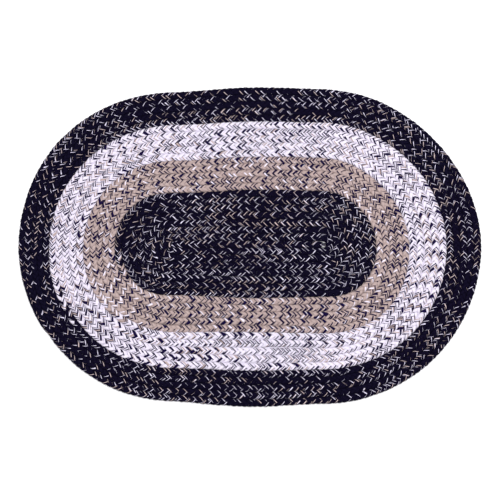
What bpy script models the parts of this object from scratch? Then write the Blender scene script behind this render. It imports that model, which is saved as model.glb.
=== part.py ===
"""An oval rug, wound flat from one long three-strand braid in four colour lengths, each length one solid."""

import math

import bmesh
import bpy

# Sizes in metres. The rug lies on the plane Z = 0, long along X.
ROW = 0.0116  # width of one row of braid
RIGHT, LEFT = 0.1204, -0.1243  # ends of the straight start of the braid
START_Y = 0.0045  # line of that straight start
THICK = 0.0075  # height of a row's crest
VALLEY = 0.0052  # height at the lacing between two rows
SLOPE = 0.24  # share of a row's width that falls away on each side of its crest
EDGE_TUCK = 0.0015  # how far the rug's outer edge rounds in above and below its belly
EDGE_BELLY = 0.0034  # height of that belly
GAP = 0.0003  # clearance between two colours

# A round is told off in hours, counter-clockwise as seen from above: the upper straight is hours 0 to 2,
# the left end 2 to 6, the lower straight 6 to 8 and the right end 8 to 12, where the next round begins.
STRAIGHT_STEP, END_STEP = 0.5, 0.125
HOURS = [STRAIGHT_STEP * i for i in range(4)] + [2 + END_STEP * i for i in range(32)]
HOURS += [6 + STRAIGHT_STEP * i for i in range(4)] + [8 + END_STEP * i for i in range(32)]
ROUND = len(HOURS)

# Where each colour is spliced off for the next: after so many rounds, at this hour of the round that follows.
COLOURS = [
    # node, rounds, hour, colour
    ("centre_braid", 7, 4.375, (0.035, 0.031, 0.055)),
    ("tan_braid", 12, 5.0, (0.41, 0.32, 0.29)),
    ("white_braid", 17, 4.625, (0.66, 0.61, 0.70)),
    ("border_braid", 22, 4.75, (0.035, 0.031, 0.055)),
]
TAPER_FROM, TAPER_TO = 4.0, 0.18  # hour at which the last round starts to narrow, and the share it narrows to

# The rounds are wound by hand: how far each colour's outer edge lies outside an even spiral, in millimetres.
UNEVEN = [
    # hour, centre, tan, white, border
    (0, 1, -3, -3, -6),
    (1, 3, -1, -1, -3),
    (2, -2, -8, -7, -11),
    (3, 4, -3, -5, -9),
    (4, 6, -1, -2, -10),
    (5, 6, 0, 3, -4),
    (6, -3, 0, 1, -3),
    (7, 2, -1, 5, 6),
    (8, 0, 2, 3, 1),
    (9, 6, 5, 5, 1),
    (10, 1, -3, 1, -1),
    (11, -2, -9, -5, -10),
]
EDGE_ROWS = (0, 7.5, 12.5, 17.5, 22.5)  # rows from the middle at which those columns hold, and zero at the start


def bulge(hour, rows):
    """How far outside the even spiral the rug lies at an hour, so many rows from its middle."""
    i, t = int(hour) % 12, hour % 1.0
    near = [(0,) + UNEVEN[(i + k) % 12][1:] for k in (-1, 0, 1, 2)]
    smooth = [
        b + 0.5 * t * (c - a + t * (2 * a - 5 * b + 4 * c - d + t * (3 * (b - c) + d - a))) for a, b, c, d in zip(*near)
    ]
    for k in range(4):
        if rows <= EDGE_ROWS[k + 1] or k == 3:
            share = min((rows - EDGE_ROWS[k]) / (EDGE_ROWS[k + 1] - EDGE_ROWS[k]), 1.3)
            return 0.001 * (smooth[k] + share * (smooth[k + 1] - smooth[k]))


def plan(rounds, hour, across):
    """A point of the braid on the floor: so far along it, and so many rows outward of its middle."""
    row = rounds + across
    if hour <= 2:
        x, y = RIGHT + (LEFT - RIGHT) * hour / 2, row * ROW
    elif hour < 6:
        angle, reach = math.radians(45 * hour), (row + 0.5) * ROW
        x, y = LEFT + reach * math.cos(angle), reach * math.sin(angle) - ROW / 2
    elif hour <= 8:
        x, y = LEFT + (RIGHT - LEFT) * (hour - 6) / 2, -(row + 1) * ROW
    else:
        angle, reach = math.radians(45 * hour - 90), (row + 1) * ROW
        x, y = RIGHT + reach * math.cos(angle), reach * math.sin(angle)
    # The unevenness moves the point straight away from the nearest point of the start strip.
    away = x - min(max(x, LEFT), RIGHT)
    reach = math.hypot(away, y)
    if reach < 1e-6:
        return x, START_Y + y
    turn = math.degrees(math.atan2(y, away)) % 360
    if away > 0:
        around = 8 + (turn + 90) % 360 / 45
    elif away < 0:
        around = turn / 45
    else:
        around = 2 * (RIGHT - x) / (RIGHT - LEFT) if y > 0 else 6 + 2 * (x - LEFT) / (RIGHT - LEFT)
    grown = 1 + bulge(around % 12, reach / ROW) / reach
    return x + away * (grown - 1), START_Y + y * grown


def seam(station, first, last, tuck=0.0):
    """The lacing line outward of a station, kept clear of the next colour, or tucked in at the rug's edge."""
    rounds, step = divmod(station, ROUND)
    hour, across = HOURS[step], 0.5
    clear = 0.0
    if 0 < first and station <= first:
        clear = GAP / 2
    elif station >= last - ROUND and last < RUG_END:
        clear = -GAP / 2
    if clear and station in (first - ROUND, first, last - ROUND, last):
        hour += clear / ((rounds + 1) * ROW * math.pi / 4)
    across += clear / ROW - tuck / ROW - (1 - TAPER_TO) * taper(station)
    return plan(rounds, hour, across)


def taper(station):
    """0 along the braid, rising to 1 where its tapered end is sewn down."""
    begin = RUG_END - round((HOURS[RUG_END % ROUND] - TAPER_FROM) / END_STEP)
    return max(0, station - begin) / (RUG_END - begin)


def side(station, first, last):
    """The rug's side at a lacing line, from its top down to the floor: upright, or rounded at the rug's edge."""
    if last == RUG_END and station >= last - ROUND:
        heights = ((EDGE_TUCK, VALLEY), (0.0, EDGE_BELLY), (EDGE_TUCK, 0.0))
    else:
        heights = ((0.0, VALLEY), (0.0, 0.0))
    return [(*seam(station, first, last, tuck), height) for tuck, height in heights]


def ridge(station, first, last):
    """The four marks across a row at a station: lacing, the two shoulders of its crest, lacing."""
    inner, outer = side(station - ROUND, first, last)[0], side(station, first, last)[0]
    crest = THICK - (THICK - VALLEY - 0.0008) * taper(station)
    shoulders = [
        (*(a + share * (b - a) for a, b in zip(inner[:2], outer[:2])), crest) for share in (SLOPE, 1 - SLOPE)
    ]
    return [inner, *shoulders, outer]


def length_of_braid(first, last):
    """The faces of one colour: the braid's rows from one splice to the next, joined along their lacing."""
    faces = []
    for i in range(first, last):
        near, far = ridge(i, first, last), ridge(i + 1, first, last)
        faces += [(near[k], near[k + 1], far[k + 1], far[k]) for k in range(3)]
        faces.append([side(k, first, last)[-1] for k in (i, i - ROUND, i + 1 - ROUND, i + 1)])
    turns_in = range(first - ROUND, first) if first else ()
    for i in [*turns_in, *range(last - ROUND, last)]:
        near, far = side(i, first, last), side(i + 1, first, last)
        faces += [(near[k], near[k + 1], far[k + 1], far[k]) for k in range(len(near) - 1)]
    for i in (first, last) if first else (last,):
        faces.append(ridge(i, first, last) + side(i, first, last)[1:] + side(i - ROUND, first, last)[:0:-1])
    return faces


def start_cap():
    """The round turn at the braid's very start, which the first round is wound about."""
    end = [i - ROUND for i in range(HOURS.index(8), ROUND + 1)]
    rim = [(*seam(i, 0, SPLICES[0]), VALLEY) for i in end]
    _, inner, outer, _ = ridge(0, 0, SPLICES[0])
    middle = len(end) // 2
    faces = [(rim[k], rim[k + 1], inner if k < middle else outer) for k in range(len(end) - 1)]
    return faces + [(inner, rim[middle], outer), [side(i, 0, SPLICES[0])[-1] for i in end]]


def solid(node, faces, colour):
    """One named object with its own material, from faces that share corners."""
    corners = {}
    shape = bmesh.new()
    for face in faces:
        loop = []
        for corner in face:
            key = tuple(round(v, 6) for v in corner)
            vertex = corners.get(key) or corners.setdefault(key, shape.verts.new(corner))
            if vertex not in loop:
                loop.append(vertex)
        if len(loop) > 2:
            shape.faces.new(loop)
    bmesh.ops.triangulate(shape, faces=shape.faces)
    bmesh.ops.recalc_face_normals(shape, faces=shape.faces)
    if shape.calc_volume(signed=True) < 0:
        bmesh.ops.reverse_faces(shape, faces=shape.faces)
    mesh = bpy.data.meshes.new(node)
    shape.to_mesh(mesh)
    shape.free()
    material = bpy.data.materials.new(node)
    material.use_nodes = True
    principled = material.node_tree.nodes["Principled BSDF"]
    principled.inputs["Base Color"].default_value = (*colour, 1)
    principled.inputs["Roughness"].default_value = 0.95
    mesh.materials.append(material)
    part = bpy.data.objects.new(node, mesh)
    RUG.objects.link(part)
    print(node, len(mesh.polygons), "triangles,", [round(1000 * v, 1) for v in part.dimensions], "mm")


for old in list(bpy.data.objects):
    bpy.data.objects.remove(old)
RUG = bpy.data.collections.new("braided_rug")
bpy.context.scene.collection.children.link(RUG)
SPLICES = [rounds * ROUND + HOURS.index(hour) for _, rounds, hour, _ in COLOURS]
RUG_END = SPLICES[-1]
begin = 0
for (name, _, _, shade), finish in zip(COLOURS, SPLICES):
    solid(name, length_of_braid(begin, finish) + (start_cap() if begin == 0 else []), shade)
    begin = finish
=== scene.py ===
# %% [markdown]
# # A braided oval rug
# This rug is one very long braid of three strands. It is wound flat around a straight start and laced to
# itself, round after round. The maker changes the yarn three times on the way out, so the rug shows a dark
# middle, a tan band, a white band and a dark border. This lesson makes the same rug in the same order:
# first the line that the braid follows, then the three strands along it, the lacing, the yarn, and the
# light.

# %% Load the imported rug
import math

import bpy
import numpy as np
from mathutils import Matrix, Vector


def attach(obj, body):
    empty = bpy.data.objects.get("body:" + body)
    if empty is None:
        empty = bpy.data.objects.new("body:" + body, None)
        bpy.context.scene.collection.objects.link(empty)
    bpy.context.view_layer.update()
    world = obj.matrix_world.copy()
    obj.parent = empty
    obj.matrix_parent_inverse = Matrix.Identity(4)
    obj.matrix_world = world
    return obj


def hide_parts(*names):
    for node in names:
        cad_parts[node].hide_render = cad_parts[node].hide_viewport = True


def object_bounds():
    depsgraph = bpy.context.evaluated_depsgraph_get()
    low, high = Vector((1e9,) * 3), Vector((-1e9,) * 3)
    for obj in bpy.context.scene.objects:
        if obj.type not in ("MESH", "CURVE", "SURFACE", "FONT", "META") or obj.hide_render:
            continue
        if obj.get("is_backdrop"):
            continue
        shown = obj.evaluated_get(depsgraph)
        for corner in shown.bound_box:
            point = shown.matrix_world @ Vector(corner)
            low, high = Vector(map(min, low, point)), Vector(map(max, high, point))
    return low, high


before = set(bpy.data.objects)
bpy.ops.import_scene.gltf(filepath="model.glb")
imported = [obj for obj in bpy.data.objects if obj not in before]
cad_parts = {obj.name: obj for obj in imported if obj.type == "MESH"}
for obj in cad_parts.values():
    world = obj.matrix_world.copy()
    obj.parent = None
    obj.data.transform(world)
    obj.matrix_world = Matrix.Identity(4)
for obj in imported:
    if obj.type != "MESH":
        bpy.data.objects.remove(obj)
solid_box = [list(corner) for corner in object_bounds()]

# %% [markdown]
# ## The line of the coil
# An oval coil has two centres. The braid starts straight. Then it turns round the left end of that start,
# runs back below it, turns round the right end and runs above it, each time one row further out. A clock
# face tells the places of a round: hours 0 to 2 are the upper straight, 2 to 6 the left end, 6 to 8 the
# lower straight and 8 to 12 the right end. A curve drawn by hand would need hundreds of points. A rule
# needs only the row's width and the ends of the start strip, and gives every point of the braid.

# %% The sizes of the coil
ROW = 0.0116  # width of one row of braid
RIGHT, LEFT, START_Y = 0.1204, -0.1243, 0.0045  # the straight start strip
SPLICES = [
    # colour, rounds, hour at which it ends
    ("centre", 7, 4.375),
    ("tan", 12, 5.0),
    ("white", 17, 4.625),
    ("border", 22, 4.75),
]
TAPER_FROM, TAPER_TO = 4.0, 0.18  # the last round narrows from this hour to this share of a row
print("start strip:", round(1000 * (RIGHT - LEFT)), "mm, rows across:", 2 * SPLICES[-1][1] + 1)

# %% [markdown]
# ## Uneven rounds
# Nobody winds a perfect oval. Where the lacing was pulled tight the rounds lie closer, and where it was
# slack they bulge. The table says how many millimetres the outer edge of each colour lies outside an even
# coil, at each hour. Between the entries the rug changes smoothly, so the rows stay fair curves. A noise
# texture could push the edge about too, but then the bulges would fall in the wrong places.

# %% The table of unevenness
UNEVEN = [
    # hour, centre, tan, white, border
    (0, 1, -3, -3, -6),
    (1, 3, -1, -1, -3),
    (2, -2, -8, -7, -11),
    (3, 4, -3, -5, -9),
    (4, 6, -1, -2, -10),
    (5, 6, 0, 3, -4),
    (6, -3, 0, 1, -3),
    (7, 2, -1, 5, 6),
    (8, 0, 2, 3, 1),
    (9, 6, 5, 5, 1),
    (10, 1, -3, 1, -1),
    (11, -2, -9, -5, -10),
]
EDGE_ROWS = (0, 7.5, 12.5, 17.5, 22.5)  # rows from the middle at which those columns hold, after a zero


def bulge(hour, rows):
    """How far outside an even coil the rug lies at an hour, so many rows from its middle."""
    i, t = int(hour) % 12, hour % 1.0
    near = [(0,) + UNEVEN[(i + k) % 12][1:] for k in (-1, 0, 1, 2)]
    smooth = [
        b + 0.5 * t * (c - a + t * (2 * a - 5 * b + 4 * c - d + t * (3 * (b - c) + d - a)))
        for a, b, c, d in zip(*near)
    ]
    k = min(sum(rows > edge for edge in EDGE_ROWS[1:]), 3)
    share = min((rows - EDGE_ROWS[k]) / (EDGE_ROWS[k + 1] - EDGE_ROWS[k]), 1.3)
    return 0.001 * (smooth[k] + share * (smooth[k + 1] - smooth[k]))


print("bulge of the rug's edge at hours 2 and 7:", [round(1000 * bulge(h, 22.5), 1) for h in (2, 7)], "mm")

# %% [markdown]
# ## A point of the braid
# One function turns a place on the braid into a point on the floor. First it lays the point on the even
# coil. Then it moves it straight away from the nearest point of the start strip, by the bulge there.
# Everything else in the lesson asks this function where it is, so strands, lacing and splices can't drift
# apart.

# %% From rounds and hours to the floor
def plan(rounds, hour, across):
    """A point of the braid on the floor: so far along it, and so many rows outward of its middle."""
    row = rounds + across
    if hour <= 2:
        x, y = RIGHT + (LEFT - RIGHT) * hour / 2, row * ROW
    elif hour < 6:
        angle, reach = math.radians(45 * hour), (row + 0.5) * ROW
        x, y = LEFT + reach * math.cos(angle), reach * math.sin(angle) - ROW / 2
    elif hour <= 8:
        x, y = LEFT + (RIGHT - LEFT) * (hour - 6) / 2, -(row + 1) * ROW
    else:
        angle, reach = math.radians(45 * hour - 90), (row + 1) * ROW
        x, y = RIGHT + reach * math.cos(angle), reach * math.sin(angle)
    away = x - min(max(x, LEFT), RIGHT)
    reach = math.hypot(away, y)
    if reach < 1e-6:
        return x, START_Y + y
    turn = math.degrees(math.atan2(y, away)) % 360
    if away > 0:
        around = 8 + (turn + 90) % 360 / 45
    elif away < 0:
        around = turn / 45
    else:
        around = 2 * (RIGHT - x) / (RIGHT - LEFT) if y > 0 else 6 + 2 * (x - LEFT) / (RIGHT - LEFT)
    grown = 1 + bulge(around % 12, reach / ROW) / reach
    return x + away * (grown - 1), START_Y + y * grown


print("outer edge at hour 1:", [round(1000 * v, 1) for v in plan(22, 1, 0.5)], "mm")

# %% [markdown]
# ## Walking along the braid
# Each strand will be placed by its distance along the braid. So the coil's line is walked in short steps,
# and four things are kept for each step: how far it is from the start, where the middle of the braid lies,
# the arrow across one row, from its inner lacing to its outer lacing, and the share of its width that the
# braid keeps. Rows are a little narrower where the rug was pulled tight, and the arrow carries that. At the
# start the braid is drawn in to a blunt nose, and at the end of the last round it is thinned off, as makers
# do, so that the rug's edge has no step.

# %% Walk the coil's line
STEPS_AN_HOUR = 48
NOSE = 0.0045  # how far the start reaches past the first turn
end_of_rug = SPLICES[-1][1:]
hours = [step / STEPS_AN_HOUR for step in range(12 * STEPS_AN_HOUR)]
places = [(-1, 0.0)] + [(rounds, hour) for rounds in range(end_of_rug[0] + 1) for hour in hours]
places = [place for place in places if place <= end_of_rug]


def thinned(rounds, hour):
    """The share of its full width that the braid keeps: 1, and less along its tapered end."""
    if rounds < end_of_rug[0] or hour < TAPER_FROM:
        return 1.0
    return 1 - (1 - TAPER_TO) * (hour - TAPER_FROM) / (end_of_rug[1] - TAPER_FROM)


middle, across, width = [], [], []
for rounds, hour in places:
    share, nose = thinned(rounds, hour), 0.0
    if rounds < 0:
        rounds, nose = 0, NOSE
    (ax, ay), (bx, by) = plan(rounds, hour, -0.5), plan(rounds, hour, share - 0.5)
    middle.append(((ax + bx) / 2 + nose, (ay + by) / 2))
    across.append((bx - ax, by - ay))
    width.append(share)
middle, across, width = np.array(middle), np.array(across), np.array(width)
steps = np.linalg.norm(np.diff(middle, axis=0), axis=1)
distance = np.concatenate([[0.0], np.cumsum(steps)])
splice_at = {colour: distance[places.index((rounds, hour))] for colour, rounds, hour in SPLICES}
print("braid:", round(distance[-1], 2), "m,", {c: round(d, 2) for c, d in splice_at.items()})

# %% [markdown]
# ## How a braid moves
# In a flat braid each strand swings from edge to edge, passes over one neighbour on its way in from the
# edge and under the next on its way out. So it goes up and down twice for every swing across, and the three
# strands do the same a third of a swing apart. That is what makes the row of slanting lobes, like an ear of
# wheat, with all its points towards the end of the braid. Two sine waves would do, one across and one up.
# The swing gets a little of its third overtone too, which turns the wave into a zigzag, because a tight
# strand crosses in a straight line. Each strand also rolls over as it turns back at the edge.

# %% The braid's own measures
SWING = 0.0044  # how far a strand's middle swings from the middle of the braid
ZIGZAG = 0.06  # share of the third overtone in the swing
RISE = 0.0019  # how far a strand rises over the others
SQUARE = 0.5625  # how flat-topped that rise is
STRAND_W, STRAND_H = 0.0063, 0.0037  # a strand's width and thickness
MID_Z = 0.00375  # height of the braid's middle
PITCH = {"centre": 0.0282, "tan": 0.0252, "white": 0.0278, "border": 0.0260}  # one full swing of a strand
PER_SWING = 14  # sections of a strand in one swing

swing_rate, begun = np.zeros(len(distance)), 0.0
for colour, stop in splice_at.items():
    swing_rate[(distance >= begun) & (distance <= stop)] = 1 / PITCH[colour]
    begun = stop
swings = np.concatenate([[0.0], np.cumsum(steps * (swing_rate[1:] + swing_rate[:-1]) / 2)])
print("full swings of each strand:", round(swings[-1]))

# %% [markdown]
# ## Where a new colour is joined
# A maker changes the yarn one strand at a time, and hides each join where the strand dives under the
# others. So the three joins lie one swing apart, each moved on to the next dive of its own strand. If all
# three strands were cut on one line across the braid, their ends would lie on top in full view.

# %% The place of a join
APART = 1.0  # swings between the joins of one strand and the next
DIVE = 0.125  # the point of a swing at which a strand is lowest, and again half a swing on


def join(at, number):
    """The place near a splice where one strand is changed: under the others, and in its own turn."""
    turn = np.interp(at, distance, swings) + (number - 1) * APART
    turn += (DIVE - number / 3 - turn) % 0.5
    return float(np.interp(turn, swings, distance))


print("tan yarn joins at", [round(join(splice_at["centre"], n), 3) for n in range(3)], "m along the braid")

# %% [markdown]
# ## Braided by hand
# No two lobes of a hand braid are the same. Slow random lines, each with its own seed, make a strand a
# little early or late, wide or narrow, high or low. The wavelengths are near the length of a lobe, so
# neighbouring lobes differ, and the amounts are small, so no strand comes away from the others. The lines
# are smooth: jitter on each point would make the strands look hairy.

# %% A strand's line
WANDER = {
    # seed, wavelength along the braid, amount
    "timing": (1, 0.019, 0.10),
    "swing": (2, 0.013, 0.05),
    "rise": (3, 0.011, 0.05),
    "size": (4, 0.009, 0.04),
}
DRIFT = (5, 0.06, 0.00025)  # the whole braid's sideways drift: seed, wavelength, amount
TIP_START, TIP_END = 0.010, 0.014  # lengths over which the rug's first and last tips are drawn in
START_SIZE, END_SIZE = 0.45, 0.03  # the size of those tips: a share, and a share before its root is taken
THINNEST = 0.35  # the size to which a strand would shrink in a braid of no width


def wander(seed, at, wavelength, amount):
    """A smooth random line: about 0, moving by about `amount` over each wavelength."""
    knots = np.random.default_rng(seed).normal(0, amount, int(at.max() / wavelength) + 4)
    i, t = np.divmod(at / wavelength, 1)
    i = i.astype(int)
    t = t * t * (3 - 2 * t)
    return knots[i] * (1 - t) + knots[i + 1] * t


def on_line(along):
    """The braid's middle and its arrow across the row, at distances along it."""
    mid = np.stack([np.interp(along, distance, middle[:, k]) for k in (0, 1)], 1)
    row = np.stack([np.interp(along, distance, across[:, k]) for k in (0, 1)], 1)
    return mid, row


def strand_line(colour, start, stop, number):
    """One strand's middle points, its size and roll at each, and the braid's line there."""
    low, high = np.interp([start, stop], distance, swings)
    turns = np.linspace(low, high, int((high - low) * PER_SWING) + 1)
    along = np.interp(turns, swings, distance)
    uneven = {
        what: wander(10 * number + seed, along, wavelength, amount)
        for what, (seed, wavelength, amount) in WANDER.items()
    }
    angle = 2 * np.pi * (turns + number / 3) + uneven["timing"]
    side = (np.sin(angle) - ZIGZAG * np.sin(3 * angle)) / (1 + ZIGZAG) * (1 + uneven["swing"])
    over = -np.sin(2 * angle)
    over = over * math.sqrt(1 + SQUARE) / np.sqrt(1 + SQUARE * over * over) * (1 + uneven["rise"])
    share = np.interp(along, distance, width)
    tip = np.clip(along / TIP_START, START_SIZE, 1.0) if start < 0.01 else np.ones(len(along))
    if colour == "border":
        tip = tip * np.sqrt(np.clip((stop - along) / TIP_END, END_SIZE, 1.0))
    mid, row = on_line(along)
    offset = (side * SWING * share + wander(DRIFT[0], along, *DRIFT[1:])) / ROW / np.maximum(share, 0.01)
    points = np.empty((len(along), 3))
    points[:, :2] = mid + row * (offset * tip)[:, None]
    points[:, 2] = MID_Z + over * RISE * np.sqrt(share) * tip
    size = (THINNEST + (1 - THINNEST) * share) * tip * (1 + uneven["size"])
    roll = 0.5 * np.pi * (1 + np.cos(angle))
    return points, size, roll, along, mid, row


line = strand_line("tan", splice_at["centre"], splice_at["tan"], 0)[0]
print("a tan strand:", len(line), "points,", np.round(1000 * line[:, 2].min(), 1), "mm high at its lowest")

# %% [markdown]
# ## The section of a strand
# A strand is a bunch of yarns that has been pressed flat, so its section is a plump oval, not a circle.
# Blender can sweep such a section along a curve: the section is a small closed curve of its own, and the
# strand's curve takes it as its bevel object. Eight corners are enough, because swept faces are shaded
# smooth and the yarn's own ridges hide the rest. A section of more corners would only make the file heavy.
# It is a little oversized, so that its flats, not its corners, lie at the strand's real width and
# thickness.

# %% Draw the section
SIDES = 8
bpy.ops.object.select_all(action="DESELECT")
bpy.ops.mesh.primitive_circle_add(vertices=SIDES, radius=0.5, rotation=(0, 0, math.pi / SIDES))
section = bpy.context.active_object
section.name = "strand_section"
bpy.ops.object.transform_apply(location=False, rotation=True, scale=False)
bpy.ops.object.mode_set(mode="EDIT")
bpy.ops.mesh.select_all(action="SELECT")
bpy.ops.transform.resize(value=(STRAND_W / math.cos(math.pi / 16), STRAND_H / math.cos(math.pi / 16), 1))
bpy.ops.object.mode_set(mode="OBJECT")
bpy.ops.object.convert(target="CURVE")
section = bpy.context.active_object
section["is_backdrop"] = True
section.hide_render = True
print("section:", [round(1000 * v, 1) for v in section.dimensions[:2]], "mm")

# %% [markdown]
# ## Maps for the yarn
# The yarn runs along the strand, round and round the braid, so its pattern can't be laid on from above.
# Each strand gets a map that follows it: across the map is once round the section, and up the map is the
# distance along the braid in centimetres. Where a strand rolls over, the yarns on it roll only most of the
# way, because they slip a little, and the map leans back by that much. A second map says where on the row a
# point lies, and how high, so the finish can tell the hollow of a seam from a crest. A third lays the same
# faces out as rows of equal strips in a square, which is what a picture of the finish needs when the model
# is taken to another program.

# %% Three maps on a swept piece
FILL = 0.92  # share of a strip that the faces take
LEAN = 0.25  # share of a strand's roll by which its yarns slip
APART_ON_MAP = 5003  # centimetres from one strand to the next on the yarn map, so that their yarns differ
CAPS = 2 * SIDES  # a swept mesh lists its last cap's corners, its first cap's, and then each section's
GIRTH = math.pi * (1.5 * (STRAND_W + STRAND_H) / 2 - math.sqrt(STRAND_W * STRAND_H) / 2)


def corners_of(mesh):
    """Each face corner's own number, its section, its place round it, and the first section of its face."""
    corner = np.empty(len(mesh.loops), np.int64)
    mesh.loops.foreach_get("vertex_index", corner)
    last = (len(mesh.vertices) - CAPS) // SIDES - 1
    station = np.where(corner >= CAPS, (corner - CAPS) // SIDES, np.where(corner < SIDES, last, 0))
    side = corner % SIDES
    starts = np.empty(len(mesh.polygons), np.int64)
    mesh.polygons.foreach_get("loop_start", starts)
    face = np.zeros(len(corner), np.int64)
    face[starts[1:]] = 1
    face = np.cumsum(face)
    closing = (np.maximum.reduceat(side, starts)[face] == SIDES - 1) & (side == 0) & (corner >= CAPS)
    return corner, station, np.where(closing, SIDES, side) / SIDES, np.minimum.reduceat(station, starts)[face]


def lay_maps(mesh, number, length, size, roll, along, mid, row):
    """The yarn, row and strip maps of a piece swept along a line, one section after another."""
    corner, station, around, lowest = corners_of(mesh)
    slipped = around + LEAN * roll[station] / (2 * np.pi) + 2
    yarn_map = np.stack([slipped, 100 * along[station] + APART_ON_MAP * number], 1)
    spots = np.empty(3 * len(mesh.vertices), np.float32)
    mesh.vertices.foreach_get("co", spots)
    spot = spots.reshape(-1, 3)[corner]
    out = ((spot[:, :2] - mid[station]) * row[station]).sum(1) / (row[station] ** 2).sum(1)
    row_map = np.stack([out + 0.5, 100 * spot[:, 2]], 1)
    strips = max(1, round(math.sqrt(length * FILL / (GIRTH * float(np.mean(size))))))
    each = math.ceil((len(along) - 1) / strips)
    strip = np.minimum(lowest // each, strips - 1)
    up_strip = (strip + (1 - FILL) / 2 + FILL * around) / strips
    strip_map = np.stack([(station - strip * each) / each, up_strip], 1)
    for name, values in (("yarn", yarn_map), ("row", row_map), ("OFBake", strip_map)):
        mesh.uv_layers.new(name=name).data.foreach_set("uv", values.astype(np.float32).ravel())
    mesh.uv_layers["OFBake"].active_render = True


print("girth of a strand:", round(1000 * GIRTH, 1), "mm")

# %% [markdown]
# ## From a line to a soft strand
# A strand's line becomes a curve, and Blender sweeps the section along it. Each point of the curve has a
# radius, which thins the strand, and a tilt, which rolls it over at the edge of the braid. The curve is
# then made a mesh, so that it can carry the maps. Skinning the points in mesh code would give the same
# faces, but the curve does the turning of the section for us. Last, the braid's own weight presses its
# underside flat on the floor, and the end caps are merged with the tube, so that the piece is one closed
# shell.

# %% Sweep the section along a line
PRESSED = 0.0001  # the underside lies flat, this far off the floor


def sweep(name, number, points, size, roll, along, mid, row):
    """A closed mesh of the section swept along a line, with its maps."""
    line = bpy.data.curves.new(name, "CURVE")
    line.dimensions, line.twist_mode = "3D", "Z_UP"
    path = line.splines.new("POLY")
    path.points.add(len(points) - 1)
    path.points.foreach_set("co", np.hstack([points, np.ones((len(points), 1))]).ravel())
    path.points.foreach_set("radius", size)
    path.points.foreach_set("tilt", roll)
    line.bevel_mode, line.bevel_object, line.use_fill_caps = "OBJECT", section, True
    piece = bpy.data.objects.new(name, line)
    bpy.context.scene.collection.objects.link(piece)
    bpy.ops.object.select_all(action="DESELECT")
    piece.select_set(True)
    bpy.context.view_layer.objects.active = piece
    bpy.ops.object.convert(target="MESH")
    for old in list(piece.data.uv_layers):
        piece.data.uv_layers.remove(old)
    spots = np.empty(3 * len(piece.data.vertices), np.float32)
    piece.data.vertices.foreach_get("co", spots)
    spots[2::3] = np.maximum(spots[2::3], PRESSED)
    piece.data.vertices.foreach_set("co", spots)
    length = float(np.linalg.norm(np.diff(points, axis=0), axis=1).sum())
    lay_maps(piece.data, number, length, size, roll, along, mid, row)
    bpy.ops.object.mode_set(mode="EDIT")
    bpy.ops.mesh.select_all(action="SELECT")
    bpy.ops.mesh.remove_doubles(threshold=0.00001)
    bpy.ops.mesh.normals_make_consistent(inside=False)
    bpy.ops.object.mode_set(mode="OBJECT")
    print(name, round(length, 2), "m,", len(piece.data.polygons), "faces")
    return piece


# %% [markdown]
# ## The lacing
# As each round is laid, a strong thread laces its inner edge to the round before. It dips from one row's
# loops to the other's, halfway down, where the lobes hide it. From above it only closes the small openings
# between the lobes, but without it the floor would shine through them, and nothing would hold the rows
# together. It is swept like a strand, from the same section made small, and it swings far less.

# %% The lacing's line
LACE = 0.3  # the thread's size, as a share of a strand's
LACE_STEP = 0.005  # between its points
LACE_SWING = 0.0187  # braid to one stitch there and back
LACE_SIDE, LACE_RISE = 0.03, 0.0005  # its sway, in rows, and its rise


def lacing_line(start, stop):
    """The line of the thread that laces a colour's rows to the round inside them."""
    along = np.linspace(start, stop, int((stop - start) / LACE_STEP))
    mid, row = on_line(along)
    sway = 2 * np.pi * along / LACE_SWING
    points = np.empty((len(along), 3))
    points[:, :2] = mid - row * (0.5 + LACE_SIDE * np.sin(sway))[:, None]
    points[:, 2] = MID_Z + LACE_RISE * np.cos(sway)
    return points, np.full(len(along), LACE), np.zeros(len(along)), along, mid - 0.5 * row, row


first_seam = distance[places.index((0, 6.0))]  # where the braid first comes back beside itself
print("lacing: from", round(first_seam, 3), "m along the braid,", round(1000 * LACE * STRAND_W, 1), "mm wide")

# %% [markdown]
# ## Yarn colours
# Every strand is a bunch of yarns, laid side by side with hardly any twist. Most have the band's own
# colour. A few have the colours of the other bands, and show as short slanting flecks wherever they come to
# the top. The dark bands are of many thin yarns, so their flecks are fine bright strokes. In the tan and
# white bands the yarns are fewer and thicker, and the dark strokes on them are broad. The table gives each
# band's mix. Colours are picked as they look on a screen, and turned into the linear ones that Blender
# works in.

# %% The mix of yarns
def shade(red, green, blue):
    """A screen colour as Blender's linear one."""
    levels = [v / 255 for v in (red, green, blue)]
    return tuple(((v + 0.055) / 1.055) ** 2.4 if v > 0.04 else v / 12.92 for v in levels)


INK, INDIGO = shade(16, 12, 34), shade(24, 16, 56)
LINEN, ROSE = shade(186, 166, 162), shade(212, 192, 190)
CHALK, FROST = shade(238, 231, 246), shade(240, 234, 255)
MIX = {
    # colour: yarns in a strand, own yarn; first fleck, its share, its strength at a seam (painted shade);
    # second fleck, share
    "centre": (20, INK, FROST, 0.07, 0.8, ROSE, 0.034),
    "tan": (8, LINEN, INDIGO, 0.31, 1.0, CHALK, 0.06),
    "white": (10, CHALK, INDIGO, 0.285, 1.0, LINEN, 0.07),
    "border": (19, INK, FROST, 0.054, 0.8, ROSE, 0.032),
}
SEAM_SHADE = {"centre": 0.3, "tan": 0.35, "white": 0.05, "border": 0.3}  # how dark the painted shade in a row's seams is
THREAD = {"centre": INK, "tan": LINEN, "white": CHALK, "border": INK}  # the lacing has the band's own colour
print("flecks:", {colour: round(mix[3] + mix[6], 3) for colour, mix in MIX.items()}, "of the yarn")

# %% [markdown]
# ## Building a finish from nodes
# The finish is a graph of nodes, and most of them only do sums. These helpers write a sum on one line: they
# add the node, join what feeds it and give back its output. They change nothing about the graph, which
# opens in the shader editor as if it had been wired by hand.

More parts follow.
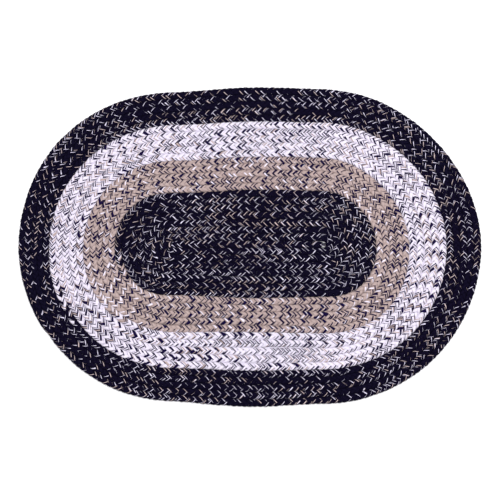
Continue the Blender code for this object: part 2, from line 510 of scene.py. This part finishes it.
# %% Helpers for nodes
def add(tree, kind, *inputs, **settings):
    """A node with its settings, its inputs joined or set in order; None leaves one as it is."""
    new = tree.nodes.new(kind)
    for key, value in settings.items():
        setattr(new, key, value)
    for socket, value in zip(new.inputs, inputs):
        if isinstance(value, bpy.types.NodeSocket):
            tree.links.new(value, socket)
        elif value is not None:
            socket.default_value = value
    return new


def sums(tree):
    """A function that adds a maths node to this tree."""
    return lambda operation, *inputs: add(tree, "ShaderNodeMath", *inputs, operation=operation).outputs[0]


def ramp(tree, value, low, high, at_low, at_high):
    """A soft step from one number to another as a value rises from low to high."""
    step = add(tree, "ShaderNodeMapRange", value, low, high, at_low, at_high, interpolation_type="SMOOTHSTEP")
    return step.outputs[0]


def blend(tree, share, one, other, way="MIX"):
    """Two colours mixed by a share. Either may be a socket or a plain colour."""
    new = add(tree, "ShaderNodeMix", share, data_type="RGBA", blend_type=way)
    for socket, value in ((new.inputs[6], one), (new.inputs[7], other)):
        if isinstance(value, bpy.types.NodeSocket):
            tree.links.new(value, socket)
        else:
            socket.default_value = (*value, 1)
    return new.outputs[2]


def vector(tree, x, y):
    """Two numbers joined as one vector."""
    return add(tree, "ShaderNodeCombineXYZ", x, y).outputs[0]


def parts(tree, map_name):
    """The two numbers of one of the piece's maps."""
    where = add(tree, "ShaderNodeUVMap", uv_map=map_name).outputs[0]
    return add(tree, "ShaderNodeSeparateXYZ", where).outputs[:2]


print("node helpers:", [helper.__name__ for helper in (add, sums, ramp, blend, vector, parts)])

# %% [markdown]
# ## Which yarn, and what colour it has
# The map across a strand, times the number of yarns, counts the yarns off, and they wind slowly round it
# with a little wobble. Each yarn changes colour every several centimetres, each at its own place. A number
# between 0 and 1 for that yarn and that stretch of it picks the colour. The number grows by a fixed step
# from one yarn to the next and by another from one stretch to the next, and starts again at 0 when it
# passes 1. Steps that never quite come round again scatter the flecks far more evenly than dice would, and
# a little luck on top keeps them from making a pattern. A noise texture alone would give blots, not yarns.

# %% Yarns and their flecks
TWIST = 0.06  # yarns that the bunch turns by in a centimetre
WOBBLE, WOBBLE_SCALE = 0.6, 0.7
STRETCHES = 0.13  # changes of a yarn's colour in a centimetre
NEXT_YARN, NEXT_STRETCH = 0.618, 0.5698  # steps of the number, to the next yarn and the next stretch
NEXT_START = 0.7549  # step, to the next yarn, of the place where the stretches begin
LUCK = 0.12  # how far chance moves the number
FADE_FROM, FADE_TO = 0.10, 0.40  # rows from the middle of a row between which a fleck is dimmed, as painted shade


def yarns_of(tree, around, along, yarns):
    """The place across the bunch, counted in yarns, the number that picks a colour, and the yarn's tone."""
    maths = sums(tree)
    stray = add(tree, "ShaderNodeTexNoise", None, along, WOBBLE_SCALE, 1.0, noise_dimensions="1D").outputs[0]
    lane = maths("ADD", maths("MULTIPLY", around, float(yarns)), maths("MULTIPLY", along, TWIST))
    lane = maths("ADD", lane, maths("MULTIPLY", stray, WOBBLE))
    yarn = maths("MODULO", maths("FLOOR", lane), float(yarns))
    begin = maths("FRACT", maths("MULTIPLY", yarn, NEXT_START))
    stretch = maths("FLOOR", maths("MULTIPLY_ADD", along, STRETCHES, begin))
    pick = maths("MULTIPLY_ADD", yarn, NEXT_YARN, maths("MULTIPLY", stretch, NEXT_STRETCH))
    die, dyed = add(tree, "ShaderNodeTexWhiteNoise", vector(tree, yarn, stretch)).outputs
    pick = maths("FRACT", maths("MULTIPLY_ADD", die, LUCK, pick))
    tone = add(tree, "ShaderNodeSeparateColor", dyed).outputs[2]
    return lane, pick, tone


def flecked(tree, pick, edge, mix):
    """The yarn's colour: its own, or one of the two flecks. A bright fleck is dimmed towards a seam, as
    painted shade.
    """
    _, own, first, first_share, at_seam, second, second_share = mix
    maths = sums(tree)
    strength = ramp(tree, edge, FADE_FROM, FADE_TO, 1.0, at_seam)
    base = blend(tree, maths("MULTIPLY", maths("LESS_THAN", pick, first_share), strength), own, first)
    return blend(tree, maths("GREATER_THAN", pick, 1 - second_share), base, second)


print("a yarn keeps its colour for about", round(1 / STRETCHES, 1), "cm of braid")

# %% [markdown]
# ## Painted shade, dye and relief
# A yarn is round, so painted shade makes its middle lighter than the grooves beside it, and no two are
# dyed quite alike. Fine fibres streak along it. Painted shade lies in the seams between rows, most of all
# low down. All of this multiplies the yarn's colour. The ridges of the yarns, the turns of their plies and
# the fibres also raise the surface, as bump, because they are only a few tenths of a millimetre high. Wool
# and cotton are matt, so the finish is rough and hardly shines.

# %% The finish of a strand
SEAM_FROM, SEAM_TO = 0.33, 0.50  # rows from the middle of a row to where the shade starts, and to the seam
LOW, TOP, TOP_SHARE = 0.40, 0.75, 0.2  # heights in centimetres, and the share of the shade left at the crest
PLIES, PLY_DEPTH = 3.6, 0.16  # turns of a yarn's plies in a centimetre, and their share of its relief
GROOVE, CREST, DYE = 0.70, 0.25, 0.12  # painted shade: a groove's lightness, what a crest adds; and what dye adds
FIBRE_ACROSS, FIBRE_ALONG, FIBRE_SCALE = 3.0, 2.6, 1.6  # how fine the fibres are
FIBRE_DEPTH = 0.35  # how far they lighten the yarn, and raise it
RELIEF, RELIEF_STRENGTH = 0.0006, 0.6  # the height of the bump, and how strongly it is felt


def yarn_finish(name, mix, seam_shade):
    """The finish of one colour of braid, or of its lacing."""
    material = bpy.data.materials.new(name)
    material.use_nodes = True
    tree = material.node_tree
    cloth = tree.nodes["Principled BSDF"]
    maths = sums(tree)
    (around, along), (over_row, height) = parts(tree, "yarn"), parts(tree, "row")
    lane, pick, tone = yarns_of(tree, around, along, mix[0])
    edge = maths("ABSOLUTE", maths("SUBTRACT", over_row, 0.5))
    base = flecked(tree, pick, edge, mix)

    # Painted shade: each yarn's crest is lighter than the grooves beside it.
    ridge = maths("SINE", maths("MULTIPLY", maths("FRACT", lane), math.pi))
    streak = vector(tree, maths("MULTIPLY", lane, FIBRE_ACROSS), maths("MULTIPLY", along, FIBRE_ALONG))
    fibre = add(tree, "ShaderNodeTexNoise", streak, None, FIBRE_SCALE, 3.0, noise_dimensions="2D").outputs[0]
    # Painted shade from the crests and grooves, times the dye's tone and the fibres' streaks.
    shade_dye_and_fibre = maths("MULTIPLY_ADD", tone, DYE, maths("MULTIPLY_ADD", ridge, CREST, GROOVE))
    shade_dye_and_fibre = maths("MULTIPLY_ADD", maths("SUBTRACT", fibre, 0.5), FIBRE_DEPTH, shade_dye_and_fibre)
    # Painted shade: darker towards the seams between rows, most of all low down.
    seam = ramp(tree, edge, SEAM_FROM, SEAM_TO, 0.0, seam_shade)
    deep = ramp(tree, height, LOW, TOP, 1.0, TOP_SHARE)
    shade_dye_and_fibre = maths("MULTIPLY", shade_dye_and_fibre, maths("SUBTRACT", 1.0, maths("MULTIPLY", seam, deep)))
    tree.links.new(blend(tree, 1.0, base, shade_dye_and_fibre, way="MULTIPLY"), cloth.inputs["Base Color"])

    ply = maths("SINE", maths("MULTIPLY", maths("MULTIPLY_ADD", along, PLIES, lane), 2 * math.pi))
    relief = maths("MULTIPLY", ridge, maths("MULTIPLY_ADD", ply, PLY_DEPTH, 1 - PLY_DEPTH))
    relief = maths("MULTIPLY_ADD", fibre, FIBRE_DEPTH, relief)
    bump = add(tree, "ShaderNodeBump")
    bump.inputs["Strength"].default_value = RELIEF_STRENGTH
    bump.inputs["Distance"].default_value = RELIEF
    tree.links.new(relief, bump.inputs["Height"])
    tree.links.new(bump.outputs[0], cloth.inputs["Normal"])
    cloth.inputs["Roughness"].default_value = 0.95
    cloth.inputs["Specular IOR Level"].default_value = 0.04
    print(name, len(tree.nodes), "nodes")
    return material


# %% [markdown]
# ## Braiding the rug
# Now each colour is braided from its splice to the next, and laced down. Its three strands and its thread
# are separate pieces, because they only cross over each other and are never fused. Real strands flatten
# where they press on each other. These keep their section, so there they run into each other, mostly by
# less than a millimetre, out of sight. Together they stand for that colour's solid. The braid of one colour
# is a flat strip of cloth, one row wide and as long as it measures along the coil, laid on the floor.

# %% Braid the four colours
PARTING = 0.0002  # half the clearance where two colours meet
start, joins, faces_in_all = 0.0, [0.0, 0.0, 0.0], 0
for colour, stop in splice_at.items():
    next_joins = [join(stop, number) if colour != "border" else stop for number in range(3)]
    finish = yarn_finish(f"{colour}_yarn", MIX[colour], SEAM_SHADE[colour])
    pieces = []
    for number, letter in enumerate("abc"):
        line = strand_line(colour, joins[number] + PARTING, next_joins[number] - PARTING, number)
        pieces.append(sweep(f"{colour}_strand_{letter}", number, *line))
        pieces[-1].data.materials.append(finish)
    thread = THREAD[colour]
    line = lacing_line(max(start, first_seam) + PARTING, stop - PARTING)
    pieces.append(sweep(f"{colour}_lacing", 3, *line))
    plain = (3, thread, thread, 0.0, 1.0, thread, 0.0)
    pieces[-1].data.materials.append(yarn_finish(f"{colour}_lacing", plain, 0.0))
    for piece in pieces:
        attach(piece, "root")
        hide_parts(f"{colour}_braid")
        faces_in_all += len(piece.data.polygons)
    start, joins = stop, next_joins
bpy.data.objects.remove(section)
print("faces in all:", faces_in_all)

# %% [markdown]
# ## The studio
# The rug is photographed from straight above on white, so the floor is a plain pale plane that the light
# burns out. A large soft lamp hangs almost overhead, a little towards the rug's upper side, and an even
# pale sky fills the rest. So every lobe of the braid has a light side, the seams are dark, and the rug's
# edge stays crisp. A lamp from the side would lay a grey shadow along the rug's lower edge.

# %% Floor, light and camera
bpy.ops.object.select_all(action="DESELECT")
bpy.ops.mesh.primitive_plane_add(size=8, location=(0, 0, 0))
floor = bpy.context.active_object
floor.name = "floor"
floor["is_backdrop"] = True
paper = bpy.data.materials.new("paper")
paper.use_nodes = True
paper.node_tree.nodes["Principled BSDF"].inputs["Base Color"].default_value = (0.98, 0.98, 0.98, 1)
paper.node_tree.nodes["Principled BSDF"].inputs["Roughness"].default_value = 1.0
paper.node_tree.nodes["Principled BSDF"].inputs["Specular IOR Level"].default_value = 0.0
floor.data.materials.append(paper)

sky = bpy.data.worlds.new("sky")
bpy.context.scene.world = sky
sky.use_nodes = True
sky.node_tree.nodes["Background"].inputs["Color"].default_value = (0.97, 0.95, 1, 1)
sky.node_tree.nodes["Background"].inputs["Strength"].default_value = 0.62

bpy.ops.object.light_add(type="AREA", location=(0.15, 0.5, 2.4))
lamp = bpy.context.active_object
lamp.name = "softbox"
lamp.data.shape, lamp.data.size = "SQUARE", 1.2
lamp.data.energy = 55
lamp.rotation_euler = (math.radians(-12), math.radians(3.5), 0)

PIXEL = 0.762 / 463.5  # metres of rug to a pixel of the photograph
HIGH = 3.0
bpy.ops.object.camera_add(location=(0.0005, -0.0049, HIGH), rotation=(0, 0, 0))
camera = bpy.context.active_object
camera.data.sensor_width = 36
camera.data.lens = 36 * (HIGH - 0.005) / (500 * PIXEL)
camera.data.clip_start, camera.data.clip_end = 0.1, 20
bpy.context.scene.camera = camera
bpy.context.scene.view_settings.view_transform = "Standard"
bpy.context.scene.view_settings.look = "None"
print("camera lens:", round(camera.data.lens, 1), "mm")

# %% [markdown]
# ## Sizes
# The box of what was made is printed beside the box of the solids.

# %% Sizes, and the end
dressed_box = [list(corner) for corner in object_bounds()]
for name, box in (("solids", solid_box), ("dressed", dressed_box)):
    print(name, [[round(1000 * v, 1) for v in corner] for corner in box], "mm")
